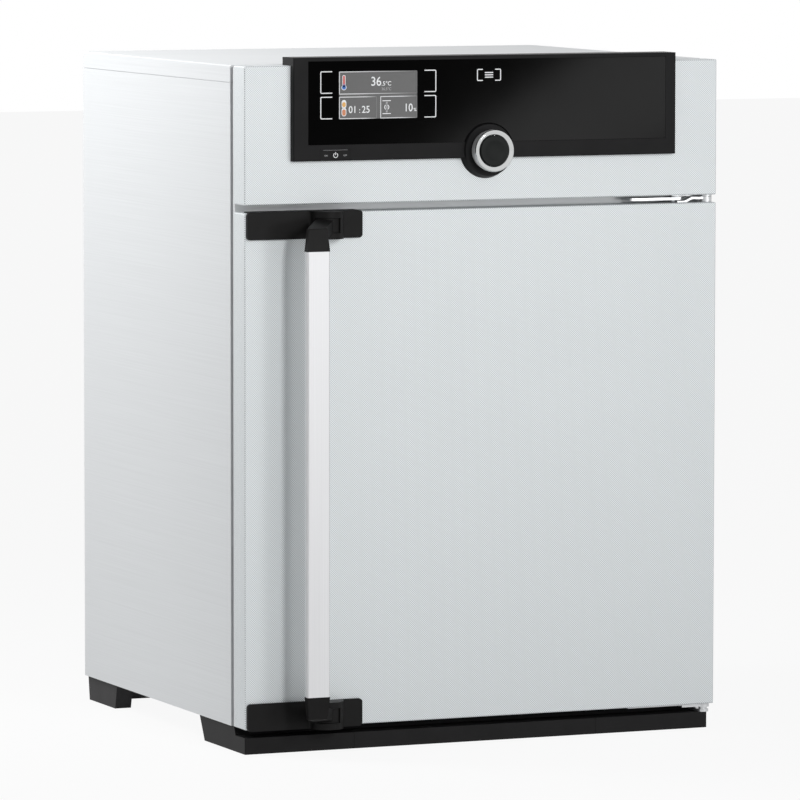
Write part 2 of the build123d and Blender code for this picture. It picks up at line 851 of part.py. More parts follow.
def door_bushes():
    low = rod_z(hinge_x, hinge_y, door_bottom, door_bottom + bush_length, bush_radius)
    low -= rod_z(hinge_x, hinge_y, door_bottom - 1, door_bottom + bush_length + 1,
                 hinge_pin + running)
    return group(low, upside_down(low))


# Hinges of the outer door

def upper_hinge_leaf():
    """The fixed leaf under the control panel, with a tab that holds the hinge pin."""
    z0 = door_top + leaf_low
    z1 = z0 + leaf_thick
    top = fascia_bottom - touch
    leaf = block(leaf_left, leaf_right, leaf_front, frame_front, z0, z1)
    leaf = fillet(leaf.edges().filter_by(Axis.Z).sort_by(Axis.Y)[:2], 3.0)
    leaf += block(leaf_right - 6, half - 1.5, strap_front, frame_front, z0, top)
    leaf += block(hinge_x - barrel_radius, hinge_x + barrel_radius - 1, hinge_y, frame_front,
                  z1 + touch, top)
    leaf += rod_z(hinge_x, hinge_y, z1 + touch, top, barrel_radius)
    leaf -= rod_z(hinge_x, hinge_y, z0, top + 1, hinge_pin)
    screw_x = leaf_right - hinge_screw_inset
    head = Pos(screw_x, leaf_front + 3.5, z0) * Sphere(3.4)
    head -= block(screw_x - 5, screw_x + 5, leaf_front - 2, leaf_front + 8, z0 + 0.5, z0 + 6)
    head -= block(screw_x - 5, screw_x + 5, leaf_front - 2, leaf_front + 8, z0 - 6, z0 - 2.2)
    return leaf + head


def door_upper_leaf():
    """The door's own leaf: it lies on the door's top and steps up to the knuckle."""
    z0 = door_top
    z1 = door_top + plate_thick
    high = door_top + leaf_low + leaf_thick
    front = hinge_y - 5
    back = hinge_y + 5
    step = joggle_high - joggle_low
    side = Polyline((joggle_low - 9, z0), (joggle_low + plate_thick, z0),
                    (joggle_low + step, high - strap_thick), (hinge_x, high - strap_thick),
                    (hinge_x, high), (joggle_low + step - 1, high), (joggle_low, z1),
                    (joggle_low - 9, z1), close=True)
    strap = extrude(Plane.XZ * make_face(side), amount=back - front)
    strap = Pos(0, back, 0) * strap
    knuckle = rod_z(hinge_x, hinge_y, door_top + touch, high, barrel_radius)
    leaf = strap + knuckle
    return leaf - rod_z(hinge_x, hinge_y, z0 - 1, high + 1, hinge_pin + running)


def door_lower_leaf():
    """The door's lower leaf, a flat plate under the door that steps down to its knuckle."""
    low = door_bottom - knuckle_drop
    plate = block(leaf_left, plate_step_end, leaf_front, leaf_front + plate_width,
                  door_bottom - plate_thick, door_bottom)
    step = block(plate_step, hinge_x, hinge_y - 5, hinge_y + 5, low + 0.6, door_bottom)
    knuckle = rod_z(hinge_x, hinge_y, low, door_bottom, barrel_radius)
    leaf = plate + step + knuckle
    return leaf - rod_z(hinge_x, hinge_y, low - 1, door_bottom + 1, hinge_pin + running)


def lower_hinge_arm():
    """The fixed arm on the plinth that carries the lower hinge pin."""
    top = plinth_top + arm_thick
    arm = rod_z(hinge_x, hinge_y, plinth_top, top, 6.5)
    arm += block(hinge_x - 6.5, half - foot_inset, hinge_y, plinth_step - 2, plinth_top, top)
    arm += rod_z(hinge_x, hinge_y, top, door_bottom - knuckle_drop - touch, 4.9)
    return arm - rod_z(hinge_x, hinge_y, plinth_top - 1, door_bottom, hinge_pin)


def door_hinge_pins():
    top = rod_z(hinge_x, hinge_y, door_top - pin_reach, fascia_bottom - touch, hinge_pin)
    low = rod_z(hinge_x, hinge_y, plinth_top, door_bottom + pin_reach, hinge_pin)
    return group(top, low)


# Handle

def wedge(angle0, angle1, radius, z0, z1):
    """A sector about the handle's pivot, angles counted from the front towards the left."""
    points = [(pivot_x, pivot_y)]
    steps = 8
    for i in range(steps + 1):
        a = radians(angle0 + (angle1 - angle0) * i / steps)
        points.append((pivot_x - radius * sin(a), pivot_y - radius * cos(a)))
    face = make_face(Polyline(*points, close=True))
    return Pos(0, 0, z0) * extrude(face, amount=z1 - z0)


def handle_bracket():
    """The upper bracket: a corner plate with a boss round the handle's pivot."""
    plate = soft_block(bracket_left, bracket_right, -bracket_thick, 0, bracket_bottom,
                       bracket_top, bracket_corner)
    wrap = block(bracket_left + bracket_corner, bracket_right - bracket_corner,
                 -bracket_thick / 2, bracket_wrap, door_top, bracket_top)
    column = rod_z(pivot_x, pivot_y, bracket_bottom, bracket_top, boss_radius)
    foot = block(pivot_x - boss_radius - 4, pivot_x + boss_radius + 4, -bracket_thick, 0,
                 bracket_bottom, bracket_top)
    column -= block(pivot_x - 40, pivot_x + 40, 0, 40, bracket_bottom - 1, bracket_top + 1)
    joined = plate + foot + column
    joined = fillet(root_edges(joined), 3.0)
    body = joined + wrap
    body -= rod_z(pivot_x, pivot_y, drum_bottom - 0.5, drum_top + 0.5, drum_radius + touch)
    body -= wedge(-arm_window_right, arm_window_left, boss_radius + 6, drum_bottom - 0.5,
                  drum_top + 0.5)
    body -= block(pivot_x - drum_radius - touch, pivot_x + drum_radius + touch,
                  -bracket_thick - 1, 1, drum_bottom - 0.5, drum_top + 0.5)
    return body - rod_z(pivot_x, pivot_y, bracket_bottom - 1, bracket_top - 2,
                        pivot_pin + running)


def root_edges(shape):
    """The two upright edges where the boss meets the bracket's plate."""
    reach = (boss_radius ** 2 - (pivot_y + bracket_thick) ** 2) ** 0.5
    picked = []
    for edge in shape.edges().filter_by(Axis.Z):
        middle = edge.center()
        if abs(middle.Y + bracket_thick) < 0.05 and abs(abs(middle.X - pivot_x) - reach) < 0.3:
            picked.append(edge)
    return ShapeList(picked)


def handle_arm():
    """The upper arm: a drum on the pivot, a sloping arm and a cap over the bar's end."""
    drum = rod_z(pivot_x, pivot_y, drum_bottom, drum_top, drum_radius)
    top = door_top + bracket_proud
    bar_end = top - bar_end_drop
    cap_half = bar_width / 2 + cap_wall
    cap_top = top - 16.5
    cap_front = bar_front - cap_wall + 1.0
    root_x = pivot_x - arm_root_out
    root = Plane.XZ.offset(-pivot_y + arm_root_front) * Pos(root_x, drum_mid + 1.1) * Rectangle(
        arm_root_width, arm_root_height)
    tip = Plane.XZ.offset(-cap_front - 7) * Pos(bar_x, cap_top - 7.0) * Rectangle(
        arm_tip_width, arm_tip_height)
    arm = loft([root, tip])
    low = Pos(bar_x, cap_front + cap_depth / 2, bar_end) * Rectangle(2 * cap_half, cap_depth)
    high = Pos(bar_x + 0.5, cap_front + cap_depth / 2 + 1.8, cap_top) * Rectangle(
        2 * cap_half - 5.5, cap_depth - 1.8)
    cap = loft([low, high])
    cap = fillet(cap.faces().sort_by(Axis.Z)[-1].edges(), 1.6)
    body = drum + arm + cap
    body -= rod_z(pivot_x, pivot_y, drum_bottom - 1, drum_top + 1, pivot_pin)
    return body


def handle_bar():
    """The bar, a flat drawn profile with eased edges, between the two caps."""
    z1 = door_top + bracket_proud - bar_end_drop
    z0 = 2 * mid_z - z1
    x0 = bar_x - bar_width / 2
    return soft_block(x0, x0 + bar_width, bar_front, bar_front + bar_depth, z0, z1, 1.8, Axis.Z)


def pivot_pins():
    pin = rod_z(pivot_x, pivot_y, bracket_bottom + 1, bracket_top - 2 - touch, pivot_pin)
    return group(pin, upside_down(pin))


def latch_levers():
    """Flat levers from the drums back through the door, with a rounded nose."""
    z0 = drum_mid - lever_height / 2
    z1 = drum_mid + lever_height / 2
    root_y = pivot_y + (drum_radius ** 2 - (lever_width / 2) ** 2) ** 0.5
    lever = block(pivot_x - lever_width / 2, pivot_x + lever_width / 2, root_y - 2,
                  pivot_y + lever_reach - lever_width / 2, z0, z1)
    lever += rod_z(pivot_x, pivot_y + lever_reach - lever_width / 2, z0, z1, lever_width / 2)
    lever -= rod_z(pivot_x, pivot_y, z0 - 1, z1 + 1, drum_radius)
    return group(lever, upside_down(lever))


# Rear fittings

def vent_duct():
    """The fresh-air duct from the chamber, and the flanged stub outside the rear sheet."""
    duct = rod_y(vent_x, liner_rear, body_depth - touch, vent_z, vent_outer)
    duct -= rod_y(vent_x, liner_rear - 1, stub_rear + 1, vent_z, vent_bore)
    hole = flap_shaft + running
    duct -= rod_x(vent_x - vent_outer - 1, vent_x + vent_outer + 1, flap_y, vent_z, hole)
    stub = rod_y(vent_x, body_depth, stub_rear, vent_z, vent_outer)
    stub += rod_y(vent_x, body_depth, body_depth + vent_flange_thick, vent_z, vent_flange)
    stub -= rod_y(vent_x, body_depth - 1, stub_rear + 1, vent_z, vent_bore)
    return group(duct, stub)


def air_flap():
    radius = vent_bore - flap_play
    disc = rod_y(vent_x, flap_y - flap_thick / 2, flap_y + flap_thick / 2, vent_z, radius)
    hub = rod_x(vent_x - radius * 0.8, vent_x + radius * 0.8, flap_y, vent_z, flap_hub)
    bore = rod_x(vent_x - radius - 1, vent_x + radius + 1, flap_y, vent_z, flap_shaft)
    return disc + hub - bore


def flap_spindle():
    right = vent_x + vent_outer + touch + 12
    return rod_x(vent_x - vent_outer - 2, right, flap_y, vent_z, flap_shaft)


def flap_motor():
    """The flap's drive, screwed to the inside of the rear sheet."""
    x0 = vent_x + vent_outer + touch
    body = soft_block(x0, x0 + motor_width, rear_inner - motor_depth, rear_inner,
                      vent_z - motor_height / 2, vent_z + motor_height / 2, 3.0)
    return body - rod_x(x0 - 1, x0 + 14, flap_y, vent_z, flap_shaft + running)


def mains_inlet():
    """A three-pin appliance inlet: a recessed socket with bevelled lower corners."""
    w, h = inlet_width / 2, inlet_height / 2
    front = body_depth + inlet_flange_thick
    body = block(inlet_x - w, inlet_x + w, body_depth - inlet_depth, body_depth,
                 inlet_z - h, inlet_z + h)
    fw, fh = inlet_flange_width / 2, inlet_flange_height / 2
    body += soft_block(inlet_x - fw, inlet_x + fw, body_depth, front, inlet_z - fh,
                       inlet_z + fh, 3.0)
    wall = 1.5
    recess = block(inlet_x - w + wall, inlet_x + w - wall, front - 17, front + 1,
                   inlet_z - h + wall, inlet_z + h - wall)
    low = recess.edges().filter_by(Axis.Y).sort_by(Axis.Z)[:2]
    body -= chamfer(low, 4.0)
    return body


def inlet_pins():
    blades = []
    floor = body_depth + inlet_flange_thick - 17
    for dx, dz in ((-7.0, 1.0), (0.0, -3.0), (7.0, 1.0)):
        x, z = inlet_x + dx, inlet_z + dz
        blades.append(block(x - 1, x + 1, floor, floor + 14, z - 2, z + 2))
    return group(*blades)


def network_socket():
    w, h = socket_width / 2, socket_height / 2
    front = body_depth + 1
    body = block(inlet_x - w, inlet_x + w, body_depth - 18, front, socket_z - h, socket_z + h)
    body += block(inlet_x - w - 1.5, inlet_x + w + 1.5, body_depth, front, socket_z - h - 1.5,
                  socket_z + h + 1.5)
    mouth = block(inlet_x - w + 2, inlet_x + w - 2, front - 12, front + 1, socket_z - h + 2,
                  socket_z + h - 4)
    key = block(inlet_x - 3, inlet_x + 3, front - 12, front + 1, socket_z - h + 2,
                socket_z + h - 2)
    return body - mouth - key


# Electronics compartment

def electronics_tray():
    """The partition above the insulation, which carries the electronics."""
    return block(-inner + sheet, inner - sheet, panel_front + 2 * sheet, rear_inner - 2 * sheet,
                 tray_z, tray_z + sheet)


def power_supply():
    """A caged supply with slotted ends, standing on the tray."""
    z0 = tray_z + sheet
    z1 = z0 + supply_height
    body = block(supply_x, supply_x + supply_width, supply_front, supply_front + supply_depth,
                 z0, z1)
    slots = 9
    pitch = supply_width / (slots + 1)
    for i in range(slots):
        x = supply_x + (i + 1) * pitch
        body -= block(x - 3, x + 3, supply_front - 1, supply_front + 3, z0 + 8, z1 - 8)
        body -= block(x - 3, x + 3, supply_front + supply_depth - 3,
                      supply_front + supply_depth + 1, z0 + 8, z1 - 8)
    return body


# Feet and plinth

def plinth_profile(y_rear_top, y_rear_bottom):
    """Side view of the plinth: a low ledge in front, then a step up to the body."""
    return Polyline((plinth_front, 0), (y_rear_bottom, 0), (y_rear_top, body_bottom),
                    (panel_front, body_bottom), (plinth_step, plinth_top),
                    (plinth_front, plinth_top), close=True)


def plinth_run(x0, x1, y_rear_top, y_rear_bottom):
    face = make_face(plinth_profile(y_rear_top, y_rear_bottom))
    return Pos(x0, 0, 0) * extrude(Plane.YZ * face, amount=x1 - x0)


def front_left_foot():
    """A corner foot: part of the front plinth, with an arm back along the side."""
    edge = -half + foot_inset
    foot = plinth_run(edge, left_seam - touch / 2, plinth_back, plinth_back)
    foot += plinth_run(edge, edge + side_arm, front_foot_top_rear, front_foot_bottom_rear)
    corner = [e for e in foot.edges().filter_by(Axis.Z)
              if abs(e.center().X - edge) < 0.01 and abs(e.center().Y - plinth_front) < 0.01]
    return fillet(ShapeList(corner), 1.5)


def front_right_foot():
    edge = half - foot_inset
    foot = plinth_run(right_seam + touch / 2, edge, plinth_back, plinth_back)
    foot += plinth_run(edge - side_arm, edge, front_foot_top_rear, front_foot_bottom_rear)
    corner = [e for e in foot.edges().filter_by(Axis.Z)
              if abs(e.center().X - edge) < 0.01 and abs(e.center().Y - plinth_front) < 0.01]
    return fillet(ShapeList(corner), 3.0)


def plinth_strip():
    return plinth_run(left_seam + touch / 2, right_seam - touch / 2, plinth_back, plinth_back)


def rear_left_foot():
    """A rear foot, angled in plan, whose faces draw in towards the floor."""
    edge = -half + foot_inset
    side = Polyline((rear_foot_bottom_front, 0), (rear_foot_bottom_rear, 0),
                    (rear_foot_top_rear, body_bottom), (rear_foot_top_front, body_bottom),
                    close=True)
    arm = Pos(edge, 0, 0) * extrude(Plane.YZ * make_face(side), amount=rear_foot_arm)
    inner_y = rear_foot_bottom_rear - 14
    rear = Polyline((inner_y, 0), (rear_foot_bottom_rear, 0), (rear_foot_top_rear, body_bottom),
                    (inner_y - 2, body_bottom), close=True)
    back = Pos(edge, 0, 0) * extrude(Plane.YZ * make_face(rear), amount=rear_foot_reach)
    return arm + back


def main():
    os.makedirs("parts", exist_ok=True)
    left_panel = side_panel()
    arm = handle_arm()
    bracket = handle_bracket()
    foot = rear_left_foot()
    pieces = {
        "base_pan": base_pan(),
        "left_side_panel": left_panel,
        "right_side_panel": on_the_right(left_panel),
        "top_cover": top_cover(),
        "rear_panel": rear_panel(),
        "rear_panel_screws": rear_screws(),
        "front_frame": front_frame(),
        "control_fascia": control_fascia(),
        "cockpit_bezel": cockpit_bezel(),
        "cockpit_glass": cockpit_glass(),
        "display_module": display_module(),
        "control_board": control_board(),
        "rotary_encoder": rotary_encoder(),
        "electronics_tray": electronics_tray(),
        "power_supply": power_supply(),
        "chamber_liner": chamber_liner(),
        "heater_panels": heater_panels(),
        "insulation": insulation(),
        "chamber_gasket": chamber_gasket(),
        "temperature_probe": temperature_probe(),
        "vent_duct": vent_duct(),
        "flap_motor": flap_motor(),
        "mains_inlet": mains_inlet(),
        "mains_inlet_pins": inlet_pins(),
        "network_socket": network_socket(),
        "front_left_foot": front_left_foot(),
        "front_plinth_strip": plinth_strip(),
        "front_right_foot": front_right_foot(),
        "rear_left_foot": foot,
        "rear_right_foot": on_the_right(foot),
        "upper_hinge_leaf": upper_hinge_leaf(),
        "lower_hinge_arm": lower_hinge_arm(),
        "door_hinge_pins": door_hinge_pins(),
        "glass_hinge_lugs": glass_hinge_lugs(),
        "glass_hinge_pins": glass_hinge_pins(),
        "glass_catch_magnet": glass_catch(),
        "door_skin": door_skin(),
        "door_inner_panel": door_inner_panel(),
        "door_insulation": door_insulation(),
        "door_gasket": door_gasket(),
        "door_upper_leaf": door_upper_leaf(),
        "door_lower_leaf": door_lower_leaf(),
        "door_hinge_bushes": door_bushes(),
        "upper_handle_bracket": bracket,
        "lower_handle_bracket": upside_down(bracket),
        "handle_bar": handle_bar(),
        "upper_handle_arm": arm,
        "lower_handle_arm": upside_down(arm),
        "handle_pivot_pins": pivot_pins(),
        "latch_levers": latch_levers(),
        "glass_pane": glass_pane(),
        "glass_hinge_clamps": glass_hinge_clamps(),
        "glass_door_knob": glass_knob(),
        "lower_shelf": wire_shelf(shelf_low_level),
        "upper_shelf": wire_shelf(shelf_high_level),
        "knob_ring": knob_ring(),
        "encoder_shaft": encoder_shaft(),
        "knob_button": knob_button(),
        "power_key": power_key(),
        "air_flap": group(air_flap(), flap_spindle()),
    }
    for name, shape in pieces.items():
        save(name, shape)


if __name__ == "__main__":
    main()
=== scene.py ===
from math import pi, radians

import bpy
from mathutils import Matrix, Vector


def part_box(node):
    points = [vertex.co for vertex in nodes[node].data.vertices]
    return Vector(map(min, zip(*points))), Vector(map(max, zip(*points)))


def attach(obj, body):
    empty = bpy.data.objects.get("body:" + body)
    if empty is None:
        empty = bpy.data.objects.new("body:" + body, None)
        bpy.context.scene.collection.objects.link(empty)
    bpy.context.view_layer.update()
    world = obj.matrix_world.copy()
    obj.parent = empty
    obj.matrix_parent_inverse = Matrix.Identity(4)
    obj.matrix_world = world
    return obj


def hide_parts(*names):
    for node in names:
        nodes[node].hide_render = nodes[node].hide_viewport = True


# The looks of a bench laboratory incubator, in metres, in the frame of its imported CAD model:
# X to the right, Y to the rear and Z up, with the front at negative Y. Named angles are in
# degrees.

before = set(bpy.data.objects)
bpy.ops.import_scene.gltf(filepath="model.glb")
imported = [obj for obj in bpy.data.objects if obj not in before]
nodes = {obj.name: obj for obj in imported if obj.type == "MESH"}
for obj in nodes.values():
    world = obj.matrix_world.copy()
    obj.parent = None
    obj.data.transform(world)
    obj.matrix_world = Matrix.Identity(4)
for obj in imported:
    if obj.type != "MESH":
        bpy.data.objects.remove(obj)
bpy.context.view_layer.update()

# Fronts of the pieces that carry print
glass_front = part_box("cockpit_glass")[0].y
key_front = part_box("power_key")[0].y

# Turn of a flat piece that is made lying down and stands up to face the front
upright = (radians(90), 0, 0)

# Print: thickness of its film, and the width and corner of the white lines
film = 0.00012
line = 0.0011
line_corner = 0.0016

# Share of half a width to which a round end is rounded, so that no two points meet
nearly_round = 0.99

# Figures: share of the type size that a capital is high, and how much the strokes are fattened
# for each unit of height
capital_share = 0.70
stroke_share = 0.012

# Screen: its edges, the split between its rows and the gaps beside the lower row's middle
screen_left = -0.1815
screen_right = -0.0862
screen_bottom = 0.7147
screen_top = 0.7679
screen_split = 0.7410
half_row_gap = 0.0013
tile_split = -0.1345
left_tile_gap = 0.0010
right_tile_gap = 0.0032

# Outlines of the screen's fields, and how far the screen's signs stand in front of the glass
field_line = 0.0009
field_corner = 0.0004
sign_level = 1.6 * film

# Signs on the screen: middle, bottom and top
thermometer_place = (-0.1756, 0.7470, 0.7640)
hourglass_place = (-0.1756, 0.7178, 0.7362)
flap_sign_place = (-0.1235, 0.7200, 0.7345)

# Open brackets beside the screen: left, right, where they are cut and the side cut off
bracket_sides = (("left", -0.2042, -0.1780, -0.1898, 1),
                 ("right", -0.0890, -0.0628, -0.0773, -1))
bracket_rows = (("upper", 0.7434, 0.7685), ("lower", 0.7148, 0.7400))

# Menu mark: edges, how far its brackets reach inwards, and its three bars
menu_left = -0.0126
menu_right = 0.0171
menu_bottom = 0.7549
menu_top = 0.7685
menu_reach = 0.0072
menu_bar_pitch = 0.0026
menu_bar_half_length = 0.0052
menu_bar_half_height = 0.0006
menu_bar_corner = 0.0004

# Power sign: centre, radius, corners and line of its ring, half width of the gap, and its bar
power_x = -0.1856
power_z = 0.6743
power_radius = 0.0029
power_corners = 36
power_line = 0.00075
power_gap = 0.0012
power_bar_half_width = 0.0004
power_bar_bottom = 0.0002
power_bar_top = 0.0036
power_bar_corner = 0.0002

# Words beside the power sign, with their middles, and the fine line above it
power_words = (("mark_on", "ON", -0.1973), ("mark_off", "OFF", -0.1740))
word_foot = 0.6732
word_height = 0.0017
fine_line_left = -0.2006
fine_line_right = -0.1712
fine_line_bottom = 0.6800
fine_line_top = 0.68025

# Half section of the knob's ring: how far behind its front, and the radius there
ring_profile = ((0.0125, 0.0032), (0.0125, 0.0180), (0.0026, 0.0180), (0.0021, 0.0182),
                (0.0014, 0.0192), (0.0008, 0.0204), (0.0003, 0.0213), (0.0, 0.0220),
                (0.0002, 0.0227), (0.0008, 0.0233), (0.0016, 0.0237), (0.0028, 0.0240),
                (0.0060, 0.0240), (0.0110, 0.0231), (0.0157, 0.0222), (0.0167, 0.0212),
                (0.0167, 0.0032))
ring_corners = 128
smooth_below = 32

# The ring's outer side is brushed: it starts beyond this radius and this far behind the front
side_radius = 0.0215
side_depth = 0.0028

# Dots rolled into the embossed sheet
dot_pitch_across = 0.0027
dot_pitch_up = 0.0025
dot_depth = 0.00014

# How far a finish's pattern is squeezed along X, Y and Z
even = (1.0, 1.0, 1.0)
brushed_level = (4.0, 4.0, 900.0)
brushed_fine = (60.0, 60.0, 800.0)
brushed_faint = (90.0, 90.0, 90.0)
turned = (40.0, 4000.0, 40.0)
drawn_upright = (1400.0, 1400.0, 3.0)
matted = (60.0, 900.0, 300.0)

# Stage
floor_size = 30.0
floor_grey = (0.60, 0.60, 0.60, 1.0)
floor_share_seen_white = 0.92
sky_tint = (0.95, 0.975, 1.0, 1.0)
sky_strength = 0.25

# Lamps: place, spot that they point at, width, height, power and turn about their own axis
lamp_sizes = {
    "left_softbox": ((-1.3, 0.7, 1.2), (-0.29, 0.0, 0.5), 0.60, 0.60, 10.5, 0.0),
    "top_softbox": ((-1.0, 0.3, 1.6), (-0.2, 0.0, 0.75), 0.60, 0.60, 11.0, 0.0),
    "front_softbox": ((0.15, -3.3, 1.5), (0.0, 0.0, 0.45), 0.40, 0.90, 42.0, 0.0),
    "sheen_card": ((1.345, -3.0, 0.520), (1.345, 0.0, 0.520), 0.90, 0.21, 10.0, 32.7),
}

# Camera, solved from the photograph, with its pitch and lens then nudged. The lens and
# the sensor are in millimetres.
camera_place = (-2.9665, -6.9059, 1.0480)
camera_pitch = 84.863
camera_roll = -0.057
camera_heading = -23.23
camera_lens = 290.1
camera_sensor = 36.0
camera_reach = 60.0


def pick_nothing():
    """Leaves no object chosen, so that the next operator acts on a new one alone."""
    if bpy.context.object and bpy.context.object.mode == "EDIT":
        bpy.ops.object.mode_set(mode="OBJECT")
    bpy.ops.object.select_all(action="DESELECT")


def settle(piece):
    """Writes the piece's place, turn and size into its mesh."""
    pick_nothing()
    piece.select_set(True)
    bpy.context.view_layer.objects.active = piece
    bpy.ops.object.transform_apply(location=True, rotation=True, scale=True)


def clothe(piece, material, slot, body="housing"):
    """Gives a finished piece its material and the body it rides on; the record slot is not used."""
    piece.data.materials.clear()
    piece.data.materials.append(material)
    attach(piece, body)


# Steps of a material

def new_finish(name, colour, roughness, metallic=0.0):
    """A material with its shader set to plain values, and its tree for a pattern."""
    material = bpy.data.materials.new(name)
    material.use_nodes = True
    tree = material.node_tree
    shader = tree.nodes["Principled BSDF"]
    shader.inputs["Base Color"].default_value = (*colour, 1.0)
    shader.inputs["Roughness"].default_value = roughness
    shader.inputs["Metallic"].default_value = metallic
    return material, tree, shader


def place_of(tree, squeeze=even):
    """Object coordinates, squeezed, as the start of a pattern."""
    where = tree.nodes.new("ShaderNodeTexCoord")
    mapping = tree.nodes.new("ShaderNodeMapping")
    mapping.inputs["Scale"].default_value = squeeze
    tree.links.new(where.outputs["Object"], mapping.inputs["Vector"])
    return mapping.outputs["Vector"]


def share_along(tree, axis, start, end):
    """How far a point lies from one place to another along an axis, from 0 to 1."""
    split = tree.nodes.new("ShaderNodeSeparateXYZ")
    tree.links.new(place_of(tree), split.inputs["Vector"])
    share = tree.nodes.new("ShaderNodeMapRange")
    share.inputs["From Min"].default_value = start
    share.inputs["From Max"].default_value = end
    tree.links.new(split.outputs[axis], share.inputs["Value"])
    return share.outputs["Result"]


def grain(tree, where, scale, detail, roughness=0.6):
    """A cloudy pattern."""
    noise = tree.nodes.new("ShaderNodeTexNoise")
    noise.inputs["Scale"].default_value = scale
    noise.inputs["Detail"].default_value = detail
    noise.inputs["Roughness"].default_value = roughness
    tree.links.new(where, noise.inputs["Vector"])
    return noise.outputs["Fac"]


def worked_out(tree, operation, *terms):
    """One arithmetic step between sockets and numbers."""
    node = tree.nodes.new("ShaderNodeMath")
    node.operation = operation
    for socket, term in zip(node.inputs, terms):
        if isinstance(term, float):
            socket.default_value = term
        else:
            tree.links.new(term, socket)
    return node.outputs[0]


def vary_colour(tree, shader, amount, low, high, stops=(0.0, 1.0)):
    """Lets a pattern vary the colour between two."""
    ramp = tree.nodes.new("ShaderNodeValToRGB")
    for end, position, colour in zip(ramp.color_ramp.elements, stops, (low, high)):
        end.position = position
        end.color = (*colour, 1.0)
    tree.links.new(amount, ramp.inputs["Fac"])
    tree.links.new(ramp.outputs["Color"], shader.inputs["Base Color"])


def mottle(tree, shader, amount, colour, darker, lighter, stops=(0.3, 0.7)):
    """Lets a pattern vary the colour by two factors, one below and one above 1."""
    low = tuple(part * darker for part in colour)
    high = tuple(min(part * lighter, 1.0) for part in colour)
    vary_colour(tree, shader, amount, low, high, stops)


def vary_roughness(tree, shader, amount, low, high):
    """Lets a pattern vary the roughness between two values."""
    node = tree.nodes.new("ShaderNodeMapRange")
    node.inputs["To Min"].default_value = low
    node.inputs["To Max"].default_value = high
    tree.links.new(amount, node.inputs["Value"])
    tree.links.new(node.outputs["Result"], shader.inputs["Roughness"])


def raise_by(tree, shader, height, strength, depth):
    """Lets a pattern stand out as relief."""
    bump = tree.nodes.new("ShaderNodeBump")
    bump.inputs["Strength"].default_value = strength
    bump.inputs["Distance"].default_value = depth
    tree.links.new(height, bump.inputs["Height"])
    tree.links.new(bump.outputs["Normal"], shader.inputs["Normal"])


# Materials

def embossed_stainless():
    """Satin stainless rolled with small dots, in columns and rows, with painted shade and highlight
    on the dots.
    """
    material, tree, shader = new_finish("embossed_stainless", (0.665, 0.695, 0.708), 0.46, 0.20)
    where = place_of(tree)
    split = tree.nodes.new("ShaderNodeSeparateXYZ")
    tree.links.new(where, split.inputs["Vector"])
    across = worked_out(tree, "ADD", split.outputs["X"], split.outputs["Y"])
    waves = []
    for distance, pitch in ((across, dot_pitch_across), (split.outputs["Z"], dot_pitch_up)):
        angle = worked_out(tree, "MULTIPLY", distance, 2 * pi / pitch)
        waves.append(worked_out(tree, "SINE", angle))
    dots = worked_out(tree, "MULTIPLY", *waves)
    height = worked_out(tree, "MULTIPLY_ADD", dots, 0.5, 0.5)
    # Painted shade and highlight: the colour follows the dots' relief, darker where it is low and
    # lighter where it is high. The relief itself is the bump below.
    vary_colour(tree, shader, height, (0.420, 0.450, 0.463), (0.880, 0.912, 0.923))
    vary_roughness(tree, shader, grain(tree, where, scale=9.0, detail=2.0), 0.42, 0.50)
    raise_by(tree, shader, height, strength=0.45, depth=dot_depth)
    return material


def satin_stainless(name, colour, roughness, metallic, brushing):
    """Plain rolled stainless with a faint grain."""
    material, tree, shader = new_finish(name, colour, roughness, metallic)
    shader.inputs["Specular IOR Level"].default_value = 0.25
    brushed = grain(tree, place_of(tree, brushing), scale=1.0, detail=2.0)
    mottle(tree, shader, brushed, colour, darker=0.965, lighter=1.02)
    vary_roughness(tree, shader, brushed, roughness - 0.04, roughness + 0.04)
    raise_by(tree, shader, brushed, strength=0.06, depth=0.00005)
    return material


def moulded_black(name, colour, roughness, gloss=0.08):
    """Moulded plastic with the fine spark-eroded grain of its tool."""
    material, tree, shader = new_finish(name, colour, roughness)
    shader.inputs["Specular IOR Level"].default_value = gloss
    fine = grain(tree, place_of(tree), scale=1900.0, detail=2.0)
    cloud = grain(tree, place_of(tree), scale=24.0, detail=3.0)
    mottle(tree, shader, cloud, colour, darker=0.88, lighter=1.12, stops=(0.35, 0.65))
    vary_roughness(tree, shader, fine, roughness - 0.06, roughness + 0.06)
    raise_by(tree, shader, fine, strength=0.25, depth=0.00006)
    return material


def black_glass():
    """Glass printed black on its back, so that only its gloss shows."""
    material, tree, shader = new_finish("black_glass", (0.0006, 0.0006, 0.0006), 0.05)
    shader.inputs["Specular IOR Level"].default_value = 0.020
    smear = grain(tree, place_of(tree), scale=16.0, detail=2.0)
    vary_roughness(tree, shader, smear, 0.06, 0.10)
    return material


def clear_glass():
    """Clear glass with a faint green tint and a little dust."""
    material, tree, shader = new_finish("clear_glass", (0.93, 0.97, 0.95), 0.02)
    shader.inputs["Transmission Weight"].default_value = 1.0
    shader.inputs["IOR"].default_value = 1.45
    dust = grain(tree, place_of(tree), scale=30.0, detail=3.0)
    vary_roughness(tree, shader, dust, 0.01, 0.05)
    return material


def polished_chrome():
    """Chrome over a turned face."""
    material, tree, shader = new_finish("polished_chrome", (0.60, 0.61, 0.61), 0.14, 1.0)
    circles = grain(tree, place_of(tree, turned), scale=1.0, detail=2.0)
    vary_roughness(tree, shader, circles, 0.07, 0.15)
    raise_by(tree, shader, circles, strength=0.05, depth=0.00003)
    return material


